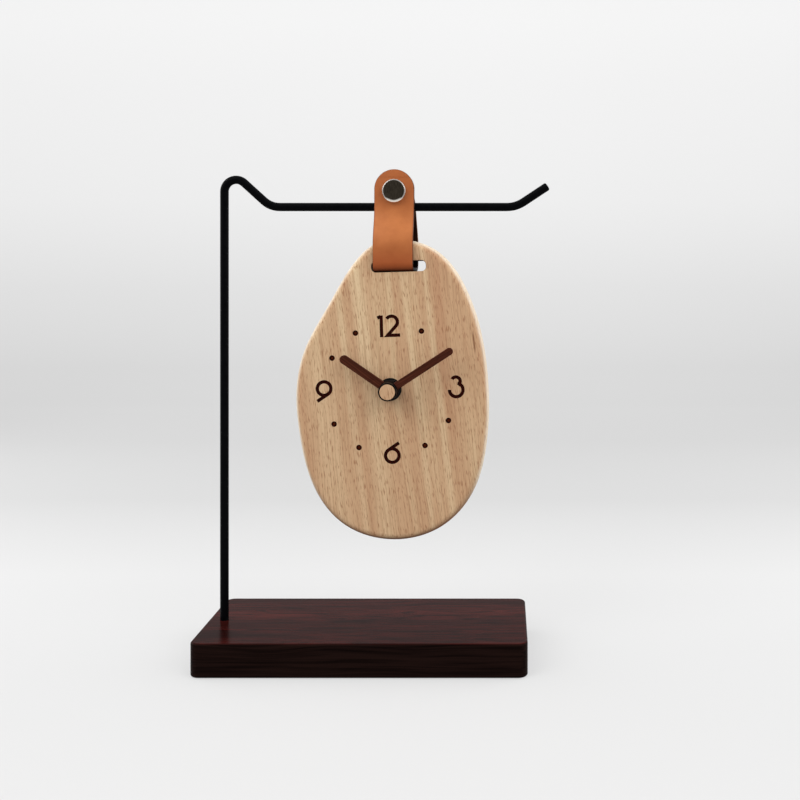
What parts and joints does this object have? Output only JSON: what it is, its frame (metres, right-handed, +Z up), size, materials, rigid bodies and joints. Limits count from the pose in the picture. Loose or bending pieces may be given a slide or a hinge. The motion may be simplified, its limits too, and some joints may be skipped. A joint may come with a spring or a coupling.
{
  "type": "wooden desk clock",
  "caption": "Pebble shaped pale wood clock hanging by a leather strap from a bent black rod that stands in a dark wood base; quartz movement behind.",
  "frame": {"origin": "on the floor, under the middle of the whole clock's width and depth", "axes": "+X to the right as seen from the front, +Y to the back, +Z up"},
  "size_m": [0.2032, 0.078, 0.2881],
  "materials": {
    "dark_wood": "semi-gloss lacquered dark wood",
    "black_steel": "satin black powder coat",
    "steel": "plain zinc plated steel",
    "soft_rubber": "soft black rubber",
    "tan_leather": "smooth vegetable tanned leather",
    "polished_steel": "polished metal",
    "pale_wood": "oiled pale wood",
    "brown_wood": "stained brown wood",
    "black_metal": "black plated metal",
    "black_plastic": "moulded black plastic",
    "pale_plastic": "moulded natural plastic",
    "iron": "soft iron",
    "copper_wire": "enamelled copper wire",
    "green_board": "green solder mask",
    "battery_sleeve": "plain printed sleeve"
  },
  "bodies": {
    "base": {"base_block": "dark_wood", "base_feet": "soft_rubber", "stand_rod": "black_steel", "rod_washer": "steel", "rod_nut": "steel"},
    "strap": {"leather_strap": "tan_leather", "rivet_cap": "polished_steel", "rivet_screw": "polished_steel"},
    "clock": {"dial_body": "pale_wood", "fixing_washer": "black_metal", "fixing_nut": "black_metal", "rubber_gasket": "soft_rubber", "movement_case": "black_plastic", "movement_cover": "black_plastic", "train_plate": "pale_plastic", "stator_plate": "iron", "coil_core": "iron", "coil_bobbin": "black_plastic", "coil_winding": "copper_wire", "circuit_board": "green_board", "quartz_crystal": "steel", "control_chip": "black_plastic", "positive_contact": "steel", "negative_contact": "steel"},
    "minute_hand": {"minute_hand": "brown_wood", "hand_cap": "brown_wood", "cap_inlay": "pale_wood", "minute_arbor": "steel"},
    "hour_hand": {"hour_hand": "brown_wood", "hour_wheel": "pale_plastic"},
    "minute_wheel": {"minute_wheel": "pale_plastic"},
    "setting_knob": {"setting_knob": "black_plastic", "setting_pinion": "pale_plastic"},
    "second_wheel": {"second_wheel": "pale_plastic"},
    "third_wheel": {"third_wheel": "pale_plastic"},
    "center_wheel": {"center_wheel": "pale_plastic"},
    "idler_wheel": {"idler_wheel": "pale_plastic"},
    "rotor": {"rotor": "pale_plastic", "rotor_magnet": "iron"},
    "battery": {"battery": "battery_sleeve"}
  },
  "joints": [
    {"name": "strap_slide", "type": "slide", "parent": "base", "child": "strap", "axis": [1, 0, 0], "range_m": [-0.036, 0.052]},
    {"name": "clock_swing", "type": "hinge", "parent": "strap", "child": "clock", "pos_m": [0.00945, 0, 0.266], "axis": [1, 0, 0], "range_deg": [-20, 20], "deforming": ["leather_strap"]},
    {"name": "minute_hand_turn", "type": "hinge", "parent": "clock", "child": "minute_hand", "pos_m": [0.00777, 0, 0.15822], "axis": [0, 1, 0], "continuous": true},
    {"name": "hour_hand_turn", "type": "hinge", "parent": "clock", "child": "hour_hand", "pos_m": [0.00777, 0, 0.15822], "axis": [0, 1, 0], "continuous": true},
    {"name": "minute_wheel_turn", "type": "hinge", "parent": "clock", "child": "minute_wheel", "pos_m": [-0.00183, 0, 0.15791], "axis": [0, 1, 0], "continuous": true},
    {"name": "setting_knob_turn", "type": "hinge", "parent": "clock", "child": "setting_knob", "pos_m": [-0.00708, 0, 0.14988], "axis": [0, 1, 0], "continuous": true},
    {"name": "second_wheel_turn", "type": "hinge", "parent": "clock", "child": "second_wheel", "pos_m": [0.00777, 0, 0.15822], "axis": [0, 1, 0], "continuous": true},
    {"name": "third_wheel_turn", "type": "hinge", "parent": "clock", "child": "third_wheel", "pos_m": [0.00749, 0, 0.16721], "axis": [0, 1, 0], "continuous": true},
    {"name": "center_wheel_turn", "type": "hinge", "parent": "clock", "child": "center_wheel", "pos_m": [0.00777, 0, 0.15822], "axis": [0, 1, 0], "continuous": true},
    {"name": "idler_wheel_turn", "type": "hinge", "parent": "clock", "child": "idler_wheel", "pos_m": [0.01679, 0, 0.15525], "axis": [0, 1, 0], "continuous": true},
    {"name": "rotor_turn", "type": "hinge", "parent": "clock", "child": "rotor", "pos_m": [0.02349, 0, 0.15727], "axis": [0, 1, 0], "continuous": true},
    {"name": "battery_pull", "type": "slide", "parent": "clock", "child": "battery", "axis": [0, 1, 0], "range_m": [0, 0.022]}
  ],
  "couplings": [
    {"joint": "hour_hand_turn", "follows": "minute_hand_turn", "ratio": 0.083333},
    {"joint": "minute_wheel_turn", "follows": "minute_hand_turn", "ratio": -0.33333},
    {"joint": "setting_knob_turn", "follows": "minute_hand_turn", "ratio": 1},
    {"joint": "third_wheel_turn", "follows": "second_wheel_turn", "ratio": -0.13333},
    {"joint": "center_wheel_turn", "follows": "second_wheel_turn", "ratio": 0.016667},
    {"joint": "idler_wheel_turn", "follows": "second_wheel_turn", "ratio": -5},
    {"joint": "rotor_turn", "follows": "second_wheel_turn", "ratio": 30}
  ]
}
